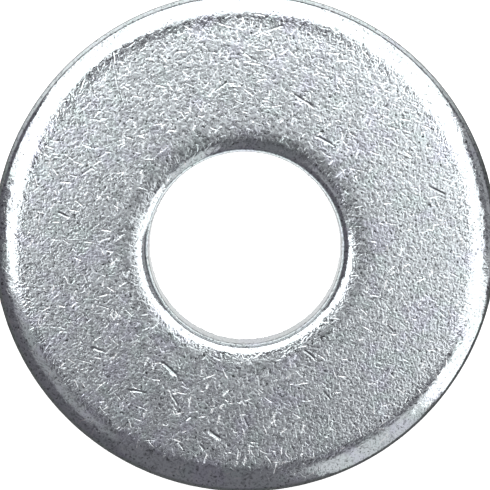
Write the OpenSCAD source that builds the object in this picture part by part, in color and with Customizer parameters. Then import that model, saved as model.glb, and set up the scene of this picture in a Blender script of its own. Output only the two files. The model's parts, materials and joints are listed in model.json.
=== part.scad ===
// Plain flat washer, stamped in one stroke from steel strip.
//
// The axis is Z. The seating face lies at z = 0 and the show face at z = thickness.
// One stroke blanks the rim and pierces the bore, so both edges are rolled over on the
// show face, run down a straight sheared land, and break away towards the seating face.

/* [Ring] */
// Outside diameter, measured on the sheared land of the rim
outer_d = 18.65; // [15:0.05:30]
// Bore diameter, measured on the sheared land of the bore
bore_d = 7.14; // [4:0.01:9]
// Thickness from the seating face to the show face
thickness = 1.6; // [1.3:0.05:4]

/* [Rolled edge of the rim] */
// Radial width of the roll-over
rim_roll_w = 1.1; // [0.8:0.05:1.4]
// Height of the roll-over
rim_roll_h = 0.5; // [0.46:0.02:0.6]
// Radius of the tighter curve where the roll-over meets the land
rim_roll_r = 0.42; // [0.2:0.02:0.44]

/* [Rolled edge of the bore] */
// Radial width of the roll-over
bore_roll_w = 0.86; // [0.6:0.02:1]
// Height of the roll-over
bore_roll_h = 0.42; // [0.36:0.02:0.5]
// Radius of the tighter curve where the roll-over meets the land
bore_roll_r = 0.34; // [0.16:0.02:0.34]

/* [Break] */
// Height of the torn zone under the land, above the seating face
break_h = 0.5; // [0.2:0.02:0.6]
// How far the torn zone falls back from the land, on the radius
break_back = 0.06; // [0.02:0.01:0.12]
// Tumbled corner between the torn zone and the seating face
corner_break = 0.1; // [0.04:0.01:0.16]

/* [Hidden] */
$fn = 128;
outer_r = outer_d / 2;
bore_r = bore_d / 2;

// Radius of the wide curve that leaves the show face flat and ends tangent to the tighter
// curve, for a roll-over of width w and height h whose tighter curve has radius r
function wide_r(w, h, r) = (pow(w - r, 2) + h * h - r * r) / (2 * (h - r));

// Section of a roll-over in its own box, w wide and h high. The wall is at x = w and the
// flat at y = h. Two arcs meet tangent on the line through both their centres.
module roll_section(w, h, r) {
    wide = wide_r(w, h, r);
    lean = atan2(wide - h, w - r);
    intersection() {
        square([w, h]);
        union() {
            translate([w - r, 0])
                circle(r);
            intersection() {
                translate([0, h - wide])
                    circle(wide);
                translate([w - r, 0])
                    rotate(lean)
                        translate([-wide, 0])
                            square([2 * wide, wide]);
            }
        }
    }
}

// Section of one sheared edge, from the seating face up, against a wall at x = 0 with the
// metal on its -x side. It is w wide, which is the width of its roll-over.
module edge_section(w, h, r) {
    land_z = thickness - h;
    polygon([
        [-w, 0],
        [-break_back - corner_break, 0],
        [-break_back, corner_break],
        [0, break_h],
        [0, land_z],
        [-w, land_z],
    ]);
    translate([-w, land_z])
        roll_section(w, h, r);
}

// Half section of the ring, in the X-Z half plane
module ring_section() {
    web_in = bore_r + bore_roll_w;
    web_out = outer_r - rim_roll_w;
    translate([web_in, 0])
        square([web_out - web_in, thickness]);
    translate([outer_r, 0])
        edge_section(rim_roll_w, rim_roll_h, rim_roll_r);
    translate([bore_r, 0])
        mirror([1, 0])
            edge_section(bore_roll_w, bore_roll_h, bore_roll_r);
}

// The stamped ring, zinc plated all over
module washer() {
    color([0.70, 0.73, 0.75])
        rotate_extrude()
            ring_section();
}

washer();
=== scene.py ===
import json
import math

import bpy
import numpy as np
from mathutils import Matrix, Vector


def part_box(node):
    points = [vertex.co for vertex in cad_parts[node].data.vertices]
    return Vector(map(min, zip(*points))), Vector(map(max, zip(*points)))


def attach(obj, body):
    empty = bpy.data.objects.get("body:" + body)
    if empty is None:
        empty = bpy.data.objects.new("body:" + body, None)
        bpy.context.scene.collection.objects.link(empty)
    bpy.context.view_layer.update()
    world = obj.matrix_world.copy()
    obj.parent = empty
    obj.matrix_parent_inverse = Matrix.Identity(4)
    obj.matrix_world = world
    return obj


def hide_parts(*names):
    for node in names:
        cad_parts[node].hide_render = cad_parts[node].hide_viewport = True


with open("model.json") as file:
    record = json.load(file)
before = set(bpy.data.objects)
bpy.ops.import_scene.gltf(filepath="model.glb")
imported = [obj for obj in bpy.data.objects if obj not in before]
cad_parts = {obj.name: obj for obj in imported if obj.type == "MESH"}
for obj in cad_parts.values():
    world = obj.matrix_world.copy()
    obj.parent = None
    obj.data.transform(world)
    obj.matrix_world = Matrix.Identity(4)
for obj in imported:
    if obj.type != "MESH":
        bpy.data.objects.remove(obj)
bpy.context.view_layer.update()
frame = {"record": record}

# Sizes are in millimetres, which MM turns into the metres that Blender works in.
MM = 0.001
RING_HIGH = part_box("washer")[1]
MOUNTS = {mount["name"]: mount for mount in frame["record"]["mounts"]}
RIM_R = RING_HIGH[0] / MM
BORE_R = MOUNTS["bolt_bore"]["dims"]["r_mm"]
THICK = RING_HIGH[2] / MM

# The two edges that the press stroke rolled over, and the torn zone under their lands
RIM_ROLL = {"width": 1.1, "height": 0.5, "tight": 0.42}
BORE_ROLL = {"width": 0.86, "height": 0.42, "tight": 0.34}
BREAK_HEIGHT = 0.5
BREAK_BACK = 0.06
CORNER_BREAK = 0.1

# How far the show face falls at the bore and at the rim, and over what width
BORE_FALL = 0.06
RIM_FALL = 0.04
FALL_WIDTH = 2.3

# How finely the section is drawn and turned
TURN_STEPS = 576
FACE_STEP = 0.115
ROLL_STEP = 0.05
WALL_STEP = 0.055

# Vertices closer than this are one: in the drawn section, and in the turned ring
SECTION_MERGE = 0.001
RING_MERGE = 0.002

# Softboxes stand this far from the washer, in metres
BOX_DISTANCE = 0.3

# The softboxes hang on one rig, which tips away from +Y, the side that the camera leans to
RIG_TIP = Matrix.Rotation(math.radians(4), 3, "X")


# ---------------------------------------------------------------- section

def line_points(start, end, step):
    """Evenly spaced points from start up to, but not including, end."""
    start, end = Vector(start), Vector(end)
    count = max(1, round((end - start).length / step))
    return [start.lerp(end, i / count) for i in range(count)]


def arc_points(centre, radius, from_deg, to_deg, step):
    """Evenly spaced points on an arc, up to but not including its end."""
    sweep = math.radians(to_deg - from_deg)
    count = max(2, round(abs(sweep) * radius / step))
    angles = [math.radians(from_deg) + sweep * i / count for i in range(count)]
    return [Vector((centre[0] + radius * math.cos(a), centre[1] + radius * math.sin(a))) for a in angles]


def roll_points(wall_r, outward, roll):
    """A roll-over from its wall up to the show face: a tight arc, then a wide one tangent to both."""
    width, height, tight = roll["width"], roll["height"], roll["tight"]
    wide = ((width - tight) ** 2 + height ** 2 - tight ** 2) / (2 * (height - tight))
    lean = math.degrees(math.atan2(wide - height, width - tight))
    points = arc_points((width - tight, THICK - height), tight, 0, lean, ROLL_STEP)
    points += arc_points((0, THICK - wide), wide, lean, 90, ROLL_STEP)
    return [Vector((wall_r - outward * (width - p.x), p.y)) for p in points]


def edge_points(wall_r, outward, roll):
    """One sheared edge from the seating face up to the show face. outward is 1 at the rim, -1 at the bore."""
    foot = (wall_r - outward * (BREAK_BACK + CORNER_BREAK), 0)
    corner = (wall_r - outward * BREAK_BACK, CORNER_BREAK)
    tear = (wall_r, BREAK_HEIGHT)
    land_top = (wall_r, THICK - roll["height"])
    points = line_points(foot, corner, WALL_STEP / 2)
    points += line_points(corner, tear, WALL_STEP)
    points += line_points(tear, land_top, WALL_STEP)
    return points + roll_points(wall_r, outward, roll)


def ring_section():
    """The closed outline of the ring's section, counter-clockwise, as (radius, height)."""
    rim = edge_points(RIM_R, 1, RIM_ROLL)
    bore = edge_points(BORE_R, -1, BORE_ROLL)
    show_out = (RIM_R - RIM_ROLL["width"], THICK)
    show_in = (BORE_R + BORE_ROLL["width"], THICK)
    show_face = line_points(show_out, show_in, FACE_STEP)
    seat_face = line_points(bore[0], rim[0], 2 * FACE_STEP)[1:]
    return rim + show_face + [Vector(show_in)] + bore[:0:-1] + [bore[0]] + seat_face


# ---------------------------------------------------------------- the ring

def deselect_all():
    bpy.ops.object.select_all(action="DESELECT")


def draw_section(outline):
    """Draws the outline as a wire, by extruding one vertex along it."""
    start = outline[0] * MM
    bpy.ops.mesh.primitive_plane_add(size=MM, location=(0, 0, 0))
    ring = bpy.context.object
    bpy.ops.object.mode_set(mode="EDIT")
    bpy.ops.mesh.merge(type="CENTER")
    bpy.ops.transform.translate(value=(start.x, 0, start.y))
    for here, there in zip(outline, outline[1:]):
        step = (there - here) * MM
        bpy.ops.mesh.extrude_region_move(TRANSFORM_OT_translate={"value": (step.x, 0, step.y)})
    bpy.ops.mesh.select_all(action="SELECT")
    return ring


def turn_section(ring):
    """Turns the section once round the bore's axis."""
    bpy.ops.object.modifier_add(type="SCREW")
    turn = ring.modifiers[-1]
    turn.axis = "Z"
    turn.angle = math.tau
    turn.steps = TURN_STEPS
    turn.render_steps = TURN_STEPS
    turn.use_merge_vertices = True
    turn.merge_threshold = RING_MERGE * MM
    bpy.ops.object.modifier_apply(modifier=turn.name)


def make_ring():
    """The ring as one closed skin."""
    outline = ring_section()
    deselect_all()
    ring = draw_section(outline + [outline[0]])
    bpy.ops.mesh.remove_doubles(threshold=SECTION_MERGE * MM)
    bpy.ops.object.mode_set(mode="OBJECT")
    turn_section(ring)
    bpy.ops.object.mode_set(mode="EDIT")
    bpy.ops.mesh.select_all(action="SELECT")
    bpy.ops.mesh.remove_doubles(threshold=RING_MERGE * MM)
    bpy.ops.mesh.normals_make_consistent(inside=False)
    bpy.ops.object.mode_set(mode="OBJECT")
    ring.name = "stamped_ring"
    dish_face(ring)
    press_gouges(ring)
    wear_edges(ring)
    bpy.ops.object.shade_smooth()
    return ring


# ---------------------------------------------------------------- marks and wear in the mesh

# Longer marks on the show face: place (x, y), angle in degrees, length, width, depth and bend
GOUGES = (
    ((-1.13, -6.98), -36, 0.60, 0.15, 0.044, 0.0),
    ((-2.15, -6.33), 33, 0.34, 0.12, 0.020, 0.0),
    ((-1.60, -7.45), -50, 0.36, 0.11, 0.018, 0.0),
    ((0.05, -6.50), -66, 0.52, 0.10, 0.018, 0.3),
    ((-2.60, -5.65), -59, 0.50, 0.10, 0.018, 0.0),
    ((2.40, -3.90), -38, 0.60, 0.12, 0.024, 0.0),
    ((3.05, -5.45), -48, 0.50, 0.10, 0.018, 0.0),
    ((5.35, -2.90), -50, 0.40, 0.10, 0.018, 0.0),
    ((1.05, 8.00), 18, 0.66, 0.10, 0.020, 0.0),
    ((1.00, 7.25), -72, 0.66, 0.10, 0.018, 0.2),
    ((-0.85, 5.95), 36, 0.60, 0.10, 0.018, 0.0),
    ((-5.75, 2.90), 33, 0.46, 0.11, 0.020, 0.0),
    ((-6.60, 1.30), -28, 0.50, 0.10, 0.018, 0.0),
    ((-4.62, 6.25), -80, 1.90, 0.08, 0.012, 0.06),
    ((-2.78, -4.45), -42, 0.90, 0.13, 0.040, 0.0),
    ((-5.45, -3.70), -20, 0.60, 0.11, 0.018, 0.1),
    ((-4.00, -5.28), -10, 0.80, 0.11, 0.018, -0.1),
    ((6.95, 2.20), -25, 0.75, 0.11, 0.022, 0.1),
    ((2.10, 5.45), -30, 0.90, 0.10, 0.018, 0.05),
    ((2.90, 4.00), -28, 0.90, 0.10, 0.018, -0.05),
)

# The strip along each gouge that is divided finely: how far it passes the ends, its half width and its cuts
STRIP_PAST = 0.05
STRIP_HALF = 0.11
STRIP_CUTS = 3

# The share of its length over which each end of a gouge runs out, and how many times sooner its mask does
END_SHARE = 0.3
MASK_GAIN = 3

# The raised lip on each side: its place and spread as shares of the width, and its height as one of the depth
LIP_PLACE = 0.65
LIP_SPREAD = 0.2
LIP_HEIGHT = 0.2

# The grain and depth of the wear in the torn zones and on both rolls, and how far the rolls' wear reaches
TORN_GRAIN = 0.13
TORN_DEPTH = 0.05
ROLLED_GRAIN = 0.3
ROLLED_DEPTH = 0.009
ROLLED_REACH = 0.7


def from_gouge(points, gouge):
    """How far each point (x, y, z) lies along a gouge and across it."""
    (x, y), angle, _, _, _, bend = gouge
    c, s = math.cos(math.radians(angle)), math.sin(math.radians(angle))
    dx, dy = points[:, 0] - x, points[:, 1] - y
    along = dx * c + dy * s
    return along, dy * c - dx * s - bend * along ** 2


def read_points(items, name):
    """The three numbers that each of a mesh's items has under this name, in millimetres."""
    found = np.empty(3 * len(items))
    items.foreach_get(name, found)
    return found.reshape(-1, 3) / MM


def dish_face(ring):
    """Lets the show face fall a little towards the bore and the rim, where the press stroke drew it down."""
    places = read_points(ring.data.vertices, "co")
    radius = np.hypot(places[:, 0], places[:, 1])
    share = np.clip((places[:, 2] - BREAK_HEIGHT) / (THICK - BREAK_HEIGHT), 0, 1)
    fall = BORE_FALL * np.clip(1 - (radius - BORE_R) / FALL_WIDTH, 0, 1) ** 2
    fall += RIM_FALL * np.clip(1 - (RIM_R - radius) / FALL_WIDTH, 0, 1) ** 2
    places[:, 2] -= fall * share
    ring.data.vertices.foreach_set("co", (places * MM).ravel())
    ring.data.update()


def press_gouges(ring):
    """Divides the show face finely along each gouge, and presses the gouge in with a raised lip each side.
    The attribute "pressed" holds how far into a gouge each vertex lies, from 0 to 1.
    """
    centres = read_points(ring.data.polygons, "center")
    chosen = np.zeros(len(centres), dtype=bool)
    for gouge in GOUGES:
        along, across = from_gouge(centres, gouge)
        chosen |= (abs(along) < gouge[2] / 2 + STRIP_PAST) & (abs(across) < STRIP_HALF)
    chosen &= centres[:, 2] > THICK - BORE_ROLL["height"]
    bpy.ops.object.mode_set(mode="EDIT")
    bpy.ops.mesh.select_mode(type="FACE")
    bpy.ops.mesh.select_all(action="DESELECT")
    bpy.ops.object.mode_set(mode="OBJECT")
    ring.data.polygons.foreach_set("select", chosen)
    bpy.ops.object.mode_set(mode="EDIT")
    bpy.ops.mesh.subdivide(number_cuts=STRIP_CUTS)
    bpy.ops.object.mode_set(mode="OBJECT")

    places = read_points(ring.data.vertices, "co")
    top = places[:, 2] > THICK - BORE_ROLL["height"]
    pressed = np.zeros(len(places))
    for gouge in GOUGES:
        length, width, depth = gouge[2:5]
        along, across = from_gouge(places, gouge)
        ends = np.clip((length / 2 - abs(along)) / (END_SHARE * length), 0, 1)
        groove = np.clip(1 - (2 * across / width) ** 2, 0, 1)
        lip = np.exp(-((abs(across) - LIP_PLACE * width) / (LIP_SPREAD * width)) ** 2)
        places[:, 2] += top * ends * depth * (LIP_HEIGHT * lip - groove)
        pressed = np.maximum(pressed, top * np.clip(MASK_GAIN * ends, 0, 1) * groove)
    ring.data.vertices.foreach_set("co", (places * MM).ravel())
    ring.data.attributes.new("pressed", "FLOAT", "POINT").data.foreach_set("value", pressed)
    ring.data.update()


def roughen(ring, name, chosen, grain, depth):
    """Pushes the chosen vertices in and out by a cloudy noise of this grain."""
    group = ring.vertex_groups.new(name=name)
    group.add([int(i) for i in np.flatnonzero(chosen)], 1.0, "REPLACE")
    noise = bpy.data.textures.new(name, "CLOUDS")
    noise.noise_scale = grain * MM
    noise.noise_depth = 1
    bpy.ops.object.modifier_add(type="DISPLACE")
    push = ring.modifiers[-1]
    push.texture = noise
    push.texture_coords = "LOCAL"
    push.vertex_group = name
    push.strength = depth * MM
    push.mid_level = 0.5
    bpy.ops.object.modifier_apply(modifier=push.name)


def wear_edges(ring):
    """The torn zones' rough break, and the small unevenness that tumbling leaves on both rolls."""
    places = read_points(ring.data.vertices, "co")
    radius, height = np.hypot(places[:, 0], places[:, 1]), places[:, 2]
    walls = (radius > RIM_R - 2 * BREAK_BACK) | (radius < BORE_R + 2 * BREAK_BACK)
    torn = walls & (height > CORNER_BREAK / 2) & (height < BREAK_HEIGHT)
    roughen(ring, "torn_zone", torn, TORN_GRAIN, TORN_DEPTH)
    from_edge = np.minimum(RIM_R - radius, radius - BORE_R)
    rolled = (height > BREAK_HEIGHT) & (from_edge < ROLLED_REACH)
    roughen(ring, "rolled_edges", rolled, ROLLED_GRAIN, ROLLED_DEPTH)


# ---------------------------------------------------------------- shader helpers

def add_node(tree, kind, inputs=None, **settings):
    """A new node with these settings, whose inputs are values or the outputs that feed them."""
    node = tree.nodes.new(kind)
    node.location.x = 180 * len(tree.nodes)
    for name, value in settings.items():
        setattr(node, name, value)
    for name, value in (inputs or {}).items():
        if isinstance(value, bpy.types.NodeSocket):
            tree.links.new(value, node.inputs[name])
        else:
            node.inputs[name].default_value = value
    return node


def maths(tree, operation, *values):
    """The output of a Math node on these values."""
    return add_node(tree, "ShaderNodeMath", dict(enumerate(values)), operation=operation).outputs[0]


def ramp(tree, value, low, high, to_low=0.0, to_high=1.0):
    """value as it goes from low to high, eased, as a number from to_low to to_high."""
    inputs = {"Value": value, "From Min": low, "From Max": high, "To Min": to_low, "To Max": to_high}
    return add_node(tree, "ShaderNodeMapRange", inputs, interpolation_type="SMOOTHSTEP").outputs[0]


def blend(tree, share, first, second):
    """A number between first and second."""
    return add_node(tree, "ShaderNodeMix", {0: share, 2: first, 3: second}, data_type="FLOAT").outputs[0]


def blend_colours(tree, share, first, second):
    """A colour between first and second."""
    node = add_node(tree, "ShaderNodeMix", {0: share, 6: first, 7: second}, data_type="RGBA")
    return node.outputs[2]


def new_group(name, inputs, outputs):
    """A shader node group. inputs is {name: default}, where a default of three numbers is a vector."""
    group = bpy.data.node_groups.new(name, "ShaderNodeTree")
    for label, default in inputs.items():
        kind = "NodeSocketVector" if isinstance(default, tuple) else "NodeSocketFloat"
        socket = group.interface.new_socket(name=label, in_out="INPUT", socket_type=kind)
        socket.default_value = default
    for label, kind in outputs.items():
        group.interface.new_socket(name=label, in_out="OUTPUT", socket_type=kind)
    return group, group.nodes.new("NodeGroupInput").outputs, group.nodes.new("NodeGroupOutput").inputs


def use_group(tree, group, inputs):
    """The outputs of a group placed in this tree."""
    node = add_node(tree, "ShaderNodeGroup", node_tree=group)
    for name, value in inputs.items():
        if isinstance(value, bpy.types.NodeSocket):
            tree.links.new(value, node.inputs[name])
        else:
            node.inputs[name].default_value = value
    return node.outputs


# ---------------------------------------------------------------- shared effects
# Every pattern below works in millimetres.

def grain_group():
    """The frosted crystal grain of a plated and tumbled skin, as a height from -1 to 1."""
    tree, given, made = new_group(
        "plating_grain",
        {"Vector": (0.0, 0.0, 0.0), "Grain Size": 0.09, "Roughen": 0.6},
        {"Height": "NodeSocketFloat"},
    )
    scale = maths(tree, "DIVIDE", 1.0, given["Grain Size"])
    noise = add_node(tree, "ShaderNodeTexNoise", {
        "Vector": given["Vector"], "Scale": scale, "Detail": 2.0, "Roughness": given["Roughen"],
        "Distortion": 0.3,
    })
    centred = maths(tree, "SUBTRACT", noise.outputs["Fac"], 0.5)
    tree.links.new(maths(tree, "MULTIPLY", centred, 2.0), made["Height"])
    return tree


def fleck_group():
    """Fine worm-like flecks that all lie one way, as a height from -1 to 1."""
    tree, given, made = new_group(
        "plating_flecks",
        {"Vector": (0.0, 0.0, 0.0), "Angle": 0.0, "Width": 0.05, "Stretch": 3.0},
        {"Height": "NodeSocketFloat"},
    )
    turned = add_node(
        tree, "ShaderNodeVectorRotate", {"Vector": given["Vector"], "Angle": given["Angle"]},
        rotation_type="Z_AXIS",
    )
    scale = maths(tree, "DIVIDE", 1.0, given["Width"])
    along = maths(tree, "DIVIDE", scale, given["Stretch"])
    ratio = add_node(tree, "ShaderNodeCombineXYZ", {"X": along, "Y": scale, "Z": scale})
    squeezed = add_node(
        tree, "ShaderNodeVectorMath", {0: turned.outputs[0], 1: ratio.outputs[0]}, operation="MULTIPLY",
    )
    noise = add_node(tree, "ShaderNodeTexNoise", {
        "Vector": squeezed.outputs[0], "Scale": 1.0, "Detail": 0.0, "Distortion": 0.0,
    })
    centred = maths(tree, "SUBTRACT", noise.outputs["Fac"], 0.5)
    tree.links.new(maths(tree, "MULTIPLY", centred, 2.0), made["Height"])
    return tree


def scratch_group():
    """Short handling scratches: one in each cell of a scattered grid, at its own angle, length and bend."""
    tree, given, made = new_group(
        "short_scratches",
        {"Vector": (0.0, 0.0, 0.0), "Cell": 0.6, "Length": 0.5, "Width": 0.05, "Bend": 0.4,
         "Share": 0.7, "Seed": 0.0},
        {"Groove": "NodeSocketFloat"},
    )
    offset = add_node(tree, "ShaderNodeCombineXYZ", {"X": given["Seed"], "Y": given["Seed"], "Z": 0.0})
    moved = add_node(
        tree, "ShaderNodeVectorMath", {0: given["Vector"], 1: offset.outputs[0]}, operation="ADD",
    )
    turned = add_node(
        tree, "ShaderNodeVectorRotate", {"Vector": moved.outputs[0], "Angle": given["Seed"]},
        rotation_type="Z_AXIS",
    )
    cells = add_node(
        tree, "ShaderNodeTexVoronoi",
        {"Vector": turned.outputs[0], "Scale": maths(tree, "DIVIDE", 1.0, given["Cell"]), "Randomness": 1.0},
        voronoi_dimensions="2D", feature="F1",
    )
    chance = add_node(
        tree, "ShaderNodeTexWhiteNoise", {"Vector": cells.outputs["Position"]}, noise_dimensions="3D",
    )
    dice = add_node(tree, "ShaderNodeSeparateColor", {"Color": chance.outputs["Color"]})
    away = add_node(
        tree, "ShaderNodeVectorMath", {0: turned.outputs[0], 1: cells.outputs["Position"]},
        operation="SUBTRACT",
    )
    aligned = add_node(
        tree, "ShaderNodeVectorRotate",
        {"Vector": away.outputs[0], "Angle": maths(tree, "MULTIPLY", dice.outputs["Red"], math.tau)},
        rotation_type="Z_AXIS",
    )
    parts = add_node(tree, "ShaderNodeSeparateXYZ", {"Vector": aligned.outputs[0]})
    along, across = parts.outputs["X"], parts.outputs["Y"]
    bend = maths(tree, "MULTIPLY", maths(tree, "SUBTRACT", dice.outputs["Green"], 0.5), given["Bend"])
    sag = maths(tree, "MULTIPLY", maths(tree, "MULTIPLY", along, along), bend)
    from_line = maths(tree, "ABSOLUTE", maths(tree, "SUBTRACT", across, sag))
    half_width = maths(tree, "MULTIPLY", given["Width"], 0.5)
    half_length = maths(
        tree, "MULTIPLY", given["Length"], maths(tree, "MULTIPLY_ADD", dice.outputs["Blue"], 0.35, 0.15),
    )
    side = ramp(tree, from_line, 0.0, half_width, 1.0, 0.0)
    fade_from = maths(tree, "MULTIPLY", half_length, 0.6)
    ends = ramp(tree, maths(tree, "ABSOLUTE", along), fade_from, half_length, 1.0, 0.0)
    force = ramp(tree, chance.outputs["Value"], 0.0, given["Share"], 1.0, 0.0)
    groove = maths(tree, "MULTIPLY", maths(tree, "MULTIPLY", side, ends), force)
    tree.links.new(groove, made["Groove"])
    return tree


# Where a mask fades, in millimetres from the rim or the bore: from the first distance to the second
RUBBED_AT_RIM = (0.75, 1.35)
RUBBED_AT_BORE = (0.28, 0.62)
# The band round the bore whose colour is darkened, as painted shade
SHADED_BAND_FROM = (0.25, 0.5)
SHADED_BAND_TO = (0.7, 1.15)
BORE_WALL = (0.1, 0.2)

# Where a mask fades by height: over the seating plane, over the lands, and under the top of the torn zone
SEAT_FADE = (0.02, 0.1)
LAND_FADE = 0.12
TORN_FADE = 0.05

# The seam's height over the bore's land, and the distances from it where its painted shade fades
SEAM_RISE = 0.03
SEAM_FADE = (0.01, 0.07)


def zones_group():
    """Where a point lies on the ring, unrolled, and a mask for each zone.

    Walls is the lands and the torn zones, Torn the torn zones alone, Pierced the bore's wall, Rubbed the
    burnished edges, one more mask the band round the bore, and Seam the line at the foot of the bore's roll.
    The band round the bore, Pierced and Seam mark where the colour is darkened as painted shade.
    """
    tree, given, made = new_group(
        "ring_zones",
        {"Vector": (0.0, 0.0, 0.0), "Rim": 9.0, "Bore": 3.5, "Thickness": 1.6, "Roll": 0.45, "Tear": 0.5},
        {"Round": "NodeSocketVector", "Walls": "NodeSocketFloat", "Torn": "NodeSocketFloat",
         "Rubbed": "NodeSocketFloat", "Dull": "NodeSocketFloat", "Seam": "NodeSocketFloat",
         "Pierced": "NodeSocketFloat"},
    )
    x, y, z = add_node(tree, "ShaderNodeSeparateXYZ", {"Vector": given["Vector"]}).outputs
    squared = maths(tree, "ADD", maths(tree, "MULTIPLY", x, x), maths(tree, "MULTIPLY", y, y))
    radius = maths(tree, "SQRT", squared)
    travel = maths(tree, "MULTIPLY", maths(tree, "ARCTAN2", y, x), radius)
    wrapped = add_node(tree, "ShaderNodeCombineXYZ", {"X": travel, "Y": z, "Z": radius})

    land_top = maths(tree, "SUBTRACT", given["Thickness"], given["Roll"])
    under_roll = ramp(tree, z, land_top, maths(tree, "ADD", land_top, LAND_FADE), 1.0, 0.0)
    above_seat = ramp(tree, z, *SEAT_FADE)
    torn_top = maths(tree, "SUBTRACT", given["Tear"], TORN_FADE)
    torn = maths(tree, "MULTIPLY", ramp(tree, z, torn_top, given["Tear"], 1.0, 0.0), above_seat)

    from_rim = maths(tree, "SUBTRACT", given["Rim"], radius)
    from_bore = maths(tree, "SUBTRACT", radius, given["Bore"])
    rubbed_rim = ramp(tree, from_rim, *RUBBED_AT_RIM, 1.0, 0.0)
    rubbed_bore = ramp(tree, from_bore, *RUBBED_AT_BORE, 1.0, 0.0)
    rubbed = maths(tree, "MAXIMUM", rubbed_rim, rubbed_bore)
    # Painted shade: the band round the bore, darkened in the colour
    past_bore = ramp(tree, from_bore, *SHADED_BAND_FROM)
    shaded_band = maths(tree, "MULTIPLY", past_bore, ramp(tree, from_bore, *SHADED_BAND_TO, 1.0, 0.0))
    # Seam marks a dark beaded line that is painted shade
    seam_height = maths(tree, "ADD", land_top, SEAM_RISE)
    from_seam = maths(tree, "ABSOLUTE", maths(tree, "SUBTRACT", z, seam_height))
    near_bore = ramp(tree, from_bore, *BORE_WALL, 1.0, 0.0)
    seam = maths(tree, "MULTIPLY", ramp(tree, from_seam, *SEAM_FADE, 1.0, 0.0), near_bore)
    walls = maths(tree, "MULTIPLY", under_roll, above_seat)
    tree.links.new(wrapped.outputs[0], made["Round"])
    tree.links.new(walls, made["Walls"])
    # Pierced marks the bore's wall, whose colour gets painted shade
    tree.links.new(maths(tree, "MULTIPLY", walls, near_bore), made["Pierced"])
    tree.links.new(torn, made["Torn"])
    tree.links.new(rubbed, made["Rubbed"])
    tree.links.new(shaded_band, made["Dull"])
    tree.links.new(seam, made["Seam"])
    return tree


# The bare plating, and the two tints that its bloom takes
PLAIN_ZINC = (0.790, 0.850, 0.870, 1.0)
VIOLET_ZINC = (0.755, 0.770, 0.890, 1.0)
GREEN_ZINC = (0.730, 0.850, 0.830, 1.0)


def tint_group():
    """The faint green, blue and violet bloom that passivation leaves on zinc, in soft patches."""
    tree, given, made = new_group(
        "passivation_bloom",
        {"Vector": (0.0, 0.0, 0.0), "Patch": 1.2, "Strength": 0.5},
        {"Color": "NodeSocketColor"},
    )
    scale = maths(tree, "DIVIDE", 1.0, given["Patch"])
    patches = add_node(tree, "ShaderNodeTexNoise", {
        "Vector": given["Vector"], "Scale": scale, "Detail": 3.0, "Roughness": 0.55, "Distortion": 0.4,
    })
    shade = add_node(tree, "ShaderNodeSeparateColor", {"Color": patches.outputs["Color"]})
    violet = ramp(tree, shade.outputs["Red"], 0.5, 0.68)
    green = ramp(tree, shade.outputs["Green"], 0.5, 0.68)
    cool = blend_colours(tree, maths(tree, "MULTIPLY", violet, given["Strength"]), PLAIN_ZINC, VIOLET_ZINC)
    tinted = blend_colours(tree, maths(tree, "MULTIPLY", green, given["Strength"]), cool, GREEN_ZINC)
    tree.links.new(tinted, made["Color"])
    return tree


# ---------------------------------------------------------------- zinc plate

# Layers of short scratches: cell, length, width, bend, share, depth and seed. A depth below 0 stands proud.
SCRATCHES = (
    (0.62, 0.62, 0.090, 0.7, 0.8, 0.0120, 1.7),
    (0.55, 0.52, 0.085, 0.9, 0.8, -0.0100, 4.1),
    (0.48, 0.48, 0.080, 1.1, 0.8, 0.0100, 12.3),
)

# The flecks' directions in radians, their width, and their length over their width
FLECK_ANGLES = (0.35, 1.40, 2.45)
FLECK_WIDTH = 0.08
FLECK_STRETCH = 2.6

# Grain sizes: the frosted skin, its slow waviness, the lines drawn down the walls, and the torn zones
FINE_GRAIN = 0.095
COARSE_GRAIN = 0.45
DRAWN_GRAIN = 0.07
TEAR_GRAIN = 0.14

# How high each pattern stands, in millimetres
FINE_HEIGHT = 0.0066
FLECK_HEIGHT = 0.0105
COARSE_HEIGHT = 0.004
DRAWN_HEIGHT = 0.006
TEAR_HEIGHT = 0.03

# The share of the relief that is gone in a gouge and on a rubbed edge
PRESSED_FLAT = 0.9
RUBBED_FLAT = 0.88

# The plating's shade in a gouge, where it is painted shade that darkens the groove, and on a rubbed edge, and
# the share of that last one that shows
PRESSED_SHADE = 0.6
RUBBED_SHADE = 0.95
RUBBED_SHARE = 0.1

# How much a scratch adds to the shade, and the share that painted shade takes off it in the band round the
# bore and down the bore's wall
SCRATCH_GLEAM = 0.25
SHADED_BAND_LOSS = 0.22
PIERCED_LOSS = 0.4

# The roughness of clean plating, and what each pattern or mask adds to it
CLEAN_ROUGHNESS = 0.28
FINE_ROUGHNESS = 0.10
COARSE_ROUGHNESS = 0.05
TORN_ROUGHNESS = 0.2
RUBBED_ROUGHNESS = -0.16
PRESSED_ROUGHNESS = -0.14


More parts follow.
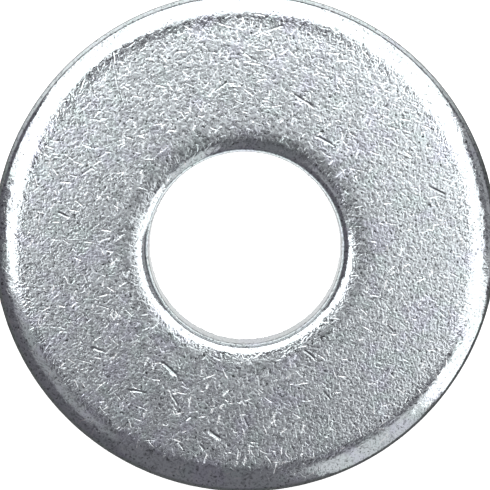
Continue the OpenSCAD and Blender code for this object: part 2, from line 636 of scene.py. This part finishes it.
def plate_relief(tree, spot, zones, grain, fine, coarse, flecks, pressed):
    """The height of the plating's relief in millimetres, and a mask of its short scratches."""
    scratches = scratch_group()
    faces = maths(tree, "SUBTRACT", 1.0, zones["Walls"])
    relief = maths(tree, "MULTIPLY", fine, FINE_HEIGHT)
    relief = maths(tree, "MULTIPLY_ADD", flecks, FLECK_HEIGHT, relief)
    relief = maths(tree, "MULTIPLY_ADD", coarse, COARSE_HEIGHT, relief)
    scratched = None
    for cell, length, width, bend, share, depth, seed in SCRATCHES:
        groove = use_group(tree, scratches, {
            "Vector": spot, "Cell": cell, "Length": length, "Width": width,
            "Bend": bend, "Share": share, "Seed": seed,
        })["Groove"]
        groove = maths(tree, "MULTIPLY", groove, faces)
        relief = maths(tree, "MULTIPLY_ADD", groove, -depth, relief)
        scratched = groove if scratched is None else maths(tree, "MAXIMUM", scratched, groove)
    drawn = add_node(tree, "ShaderNodeMapping", {"Vector": zones["Round"], "Scale": (1.0, 0.06, 0.0)})
    lines = use_group(tree, grain, {
        "Vector": drawn.outputs[0], "Grain Size": DRAWN_GRAIN, "Roughen": 0.6,
    })["Height"]
    relief = maths(tree, "MULTIPLY_ADD", maths(tree, "MULTIPLY", lines, zones["Walls"]), DRAWN_HEIGHT, relief)
    tear = use_group(tree, grain, {"Vector": spot, "Grain Size": TEAR_GRAIN, "Roughen": 0.75})["Height"]
    relief = maths(tree, "MULTIPLY_ADD", maths(tree, "MULTIPLY", tear, zones["Torn"]), TEAR_HEIGHT, relief)
    relief = maths(tree, "MULTIPLY", relief, maths(tree, "MULTIPLY_ADD", pressed, -PRESSED_FLAT, 1.0))
    relief = maths(tree, "MULTIPLY", relief, maths(tree, "MULTIPLY_ADD", zones["Rubbed"], -RUBBED_FLAT, 1.0))
    return relief, scratched


def plate_shade(tree, zones, fine, flecks, scratched, pressed):
    """How light the plating is: pitted and specked, lighter in scratches, and darker in gouges, round the
    bore, down its wall and along its seam; those four darkenings are painted shade.
    """
    pits = ramp(tree, flecks, -0.35, 0.35, 0.58, 1.12)
    specks = ramp(tree, fine, -0.44, -0.17, 0.15, 1.0)
    shade = maths(tree, "MULTIPLY", pits, specks)
    shade = blend(tree, maths(tree, "MULTIPLY", zones["Rubbed"], RUBBED_SHARE), shade, RUBBED_SHADE)
    shade = maths(tree, "MULTIPLY_ADD", scratched, SCRATCH_GLEAM, shade)
    # Painted shade: the gouges are darkened in the colour, to deepen their shaded sides
    shade = blend(tree, pressed, shade, PRESSED_SHADE)
    # Painted shade in the band round the bore
    shade = maths(tree, "MULTIPLY", shade, maths(tree, "MULTIPLY_ADD", zones["Dull"], -SHADED_BAND_LOSS, 1.0))
    # Painted shade down the bore's wall
    shade = maths(tree, "MULTIPLY", shade, maths(tree, "MULTIPLY_ADD", zones["Pierced"], -PIERCED_LOSS, 1.0))
    # Painted shade: a dark beaded line along the seam at the foot of the bore's roll
    beads = ramp(tree, fine, -0.3, 0.3, 0.75, 0.2)
    seam = maths(tree, "MULTIPLY", zones["Seam"], beads)
    return maths(tree, "MULTIPLY", shade, maths(tree, "SUBTRACT", 1.0, seam))


def plate_roughness(tree, zones, fine, coarse, pressed):
    """The plating's roughness: varied by its grain, coarse where torn, smooth where rubbed or pressed."""
    roughness = maths(tree, "MULTIPLY_ADD", fine, FINE_ROUGHNESS, CLEAN_ROUGHNESS)
    roughness = maths(tree, "MULTIPLY_ADD", coarse, COARSE_ROUGHNESS, roughness)
    roughness = maths(tree, "MULTIPLY_ADD", zones["Torn"], TORN_ROUGHNESS, roughness)
    roughness = maths(tree, "MULTIPLY_ADD", zones["Rubbed"], RUBBED_ROUGHNESS, roughness)
    return maths(tree, "MULTIPLY_ADD", pressed, PRESSED_ROUGHNESS, roughness)


def zinc_plate():
    """Bright zinc on tumbled steel: frosted, with scratches at every angle, and rubbed at its edges."""
    material = bpy.data.materials.new("bright_zinc")
    material.use_nodes = True
    tree = material.node_tree
    surface = tree.nodes["Principled BSDF"]
    place = add_node(tree, "ShaderNodeTexCoord").outputs["Object"]
    spot = add_node(tree, "ShaderNodeVectorMath", {0: place, "Scale": 1 / MM}, operation="SCALE").outputs[0]
    zones = use_group(tree, zones_group(), {
        "Vector": spot, "Rim": RIM_R, "Bore": BORE_R, "Thickness": THICK,
        "Roll": BORE_ROLL["height"], "Tear": BREAK_HEIGHT,
    })
    pressed = add_node(tree, "ShaderNodeAttribute", attribute_name="pressed").outputs["Fac"]

    grain = grain_group()
    fine = use_group(tree, grain, {"Vector": spot, "Grain Size": FINE_GRAIN, "Roughen": 0.5})["Height"]
    coarse = use_group(tree, grain, {"Vector": spot, "Grain Size": COARSE_GRAIN, "Roughen": 0.5})["Height"]
    fleck = fleck_group()
    flecks = None
    for angle in FLECK_ANGLES:
        layer = use_group(tree, fleck, {
            "Vector": spot, "Angle": angle, "Width": FLECK_WIDTH, "Stretch": FLECK_STRETCH,
        })["Height"]
        flecks = layer if flecks is None else maths(tree, "MAXIMUM", flecks, layer)

    relief, scratched = plate_relief(tree, spot, zones, grain, fine, coarse, flecks, pressed)
    bump = add_node(tree, "ShaderNodeBump", {"Height": relief, "Distance": MM, "Strength": 1.0})
    tree.links.new(bump.outputs[0], surface.inputs["Normal"])

    bloom = use_group(tree, tint_group(), {"Vector": spot, "Patch": 1.0, "Strength": 0.55})["Color"]
    shade = plate_shade(tree, zones, fine, flecks, scratched, pressed)
    shaded = add_node(tree, "ShaderNodeVectorMath", {0: bloom, "Scale": shade}, operation="SCALE").outputs[0]
    tree.links.new(shaded, surface.inputs["Base Color"])

    tree.links.new(plate_roughness(tree, zones, fine, coarse, pressed), surface.inputs["Roughness"])
    surface.inputs["Metallic"].default_value = 1.0
    return material


# ---------------------------------------------------------------- studio

# How far the table and its glow lie under the seating plane, in millimetres
TABLE_DROP = 0.02
GLOW_DROP = 0.01


def white_floor():
    """A pale lit table, whose top lies just under the seating plane."""
    material = bpy.data.materials.new("light_table")
    material.use_nodes = True
    surface = material.node_tree.nodes["Principled BSDF"]
    surface.inputs["Base Color"].default_value = (0.93, 0.93, 0.93, 1.0)
    surface.inputs["Roughness"].default_value = 0.9
    surface.inputs["Specular IOR Level"].default_value = 0.0
    surface.inputs["Emission Color"].default_value = (1.0, 1.0, 1.0, 1.0)
    surface.inputs["Emission Strength"].default_value = 0.75
    deselect_all()
    bpy.ops.mesh.primitive_plane_add(size=2.0, location=(0, 0, -TABLE_DROP * MM))
    floor = bpy.context.object
    floor.name = "table_top"
    floor.data.materials.append(material)
    floor.visible_glossy = False


def glow_under_bore(brightness):
    """The part of the light table that the bore's wall mirrors."""
    material = bpy.data.materials.new("table_glow")
    material.use_nodes = True
    surface = material.node_tree.nodes["Principled BSDF"]
    surface.inputs["Base Color"].default_value = (0.0, 0.0, 0.0, 1.0)
    surface.inputs["Emission Color"].default_value = (1.0, 1.0, 1.0, 1.0)
    surface.inputs["Emission Strength"].default_value = brightness
    deselect_all()
    bpy.ops.mesh.primitive_circle_add(
        vertices=64, radius=(BORE_R + 0.2) * MM, fill_type="NGON", location=(0, 0, -GLOW_DROP * MM),
    )
    disc = bpy.context.object
    disc.name = "table_glow"
    disc.data.materials.append(material)
    disc.visible_camera = False


def direction(azimuth, elevation):
    """A unit vector. Azimuth runs from +X towards +Y."""
    a, e = math.radians(azimuth), math.radians(elevation)
    return Vector((math.cos(e) * math.cos(a), math.cos(e) * math.sin(a), math.sin(e)))


def soft_box(name, azimuth, elevation, across, tall, brightness):
    """A rectangular softbox that faces the washer. across and tall are the degrees it spans from there."""
    lamp = bpy.data.lights.new(name, "AREA")
    lamp.shape = "RECTANGLE"
    lamp.size = 2 * BOX_DISTANCE * math.tan(math.radians(across / 2))
    lamp.size_y = 2 * BOX_DISTANCE * math.tan(math.radians(tall / 2))
    lamp.energy = brightness * math.pi * lamp.size * lamp.size_y
    holder = bpy.data.objects.new(name, lamp)
    towards = RIG_TIP @ direction(azimuth, elevation)
    holder.location = towards * BOX_DISTANCE
    holder.rotation_mode = "QUATERNION"
    holder.rotation_quaternion = towards.to_track_quat("Z", "Y")
    holder.visible_camera = False
    bpy.context.scene.collection.objects.link(holder)


def studio_walls(above, below_far, below_near):
    """The room: white to the camera. In reflections it is dim, and the table is bright towards the softboxes
    and dim straight down, where the washer shades it.
    """
    world = bpy.data.worlds.new("studio")
    bpy.context.scene.world = world
    world.use_nodes = True
    tree = world.node_tree
    background = tree.nodes["Background"]
    towards = add_node(tree, "ShaderNodeTexCoord").outputs["Generated"]
    lit_side = add_node(
        tree, "ShaderNodeVectorMath", {0: towards, 1: direction(95, 0)}, operation="DOT_PRODUCT",
    ).outputs["Value"]
    table = ramp(tree, lit_side, 0.1, 0.8, below_far, below_near)
    height = add_node(tree, "ShaderNodeSeparateXYZ", {"Vector": towards}).outputs["Z"]
    table = maths(tree, "MULTIPLY", table, ramp(tree, height, -0.9, -0.6, 0.15, 1.0))
    share = ramp(tree, height, 0.0, 0.3, 1.0, 0.0)
    dusk = (1.04 * above, 0.97 * above, 1.1 * above, 1.0)
    room = blend_colours(tree, share, dusk, table)
    seen = add_node(tree, "ShaderNodeLightPath").outputs["Is Camera Ray"]
    tree.links.new(blend_colours(tree, seen, room, (1.0, 1.0, 1.0, 1.0)), background.inputs["Color"])


def camera_above(height, lean, lens):
    """A camera above the bore, leaning from the vertical towards +Y by lean degrees."""
    camera = bpy.data.objects.new("camera", bpy.data.cameras.new("camera"))
    towards = direction(90, 90 - lean)
    camera.location = towards * height * MM
    camera.rotation_euler = (-math.radians(lean), 0, 0)
    camera.data.lens = lens
    camera.data.sensor_width = 36
    camera.data.clip_start = MM
    camera.data.clip_end = 10
    bpy.context.scene.collection.objects.link(camera)
    bpy.context.scene.camera = camera


camera_above(height=40.0, lean=7.0, lens=77.1)
ring = make_ring()
ring.data.materials.append(zinc_plate())
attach(ring, "root")
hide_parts("washer")

white_floor()
glow_under_bore(0.95)
studio_walls(above=0.11, below_far=0.10, below_near=0.95)
soft_box("bank_right", 56, 43, 40, 44, 1.4)
soft_box("bank_middle", 92, 43, 34, 48, 1.4)
soft_box("bank_left", 126, 41, 34, 46, 1.35)
soft_box("bank_end", 152, 54, 20, 24, 1.35)
soft_box("high_right", 12, 66, 34, 20, 1.5)
soft_box("side_fill", 8, 34, 36, 29, 0.2)
soft_box("high_left", 178, 64, 16, 14, 2.0)
soft_box("high_fill", 208, 60, 28, 12, 0.2)
soft_box("dim_fill", 268, 45, 36, 44, 0.04)
soft_box("low_fill", 302, 34, 24, 54, 0.5)
soft_box("low_kicker", 330, 31, 22, 54, 1.3)
soft_box("overhead", 60, 86, 22, 22, 0.10)

bpy.context.scene.view_settings.view_transform = "Standard"
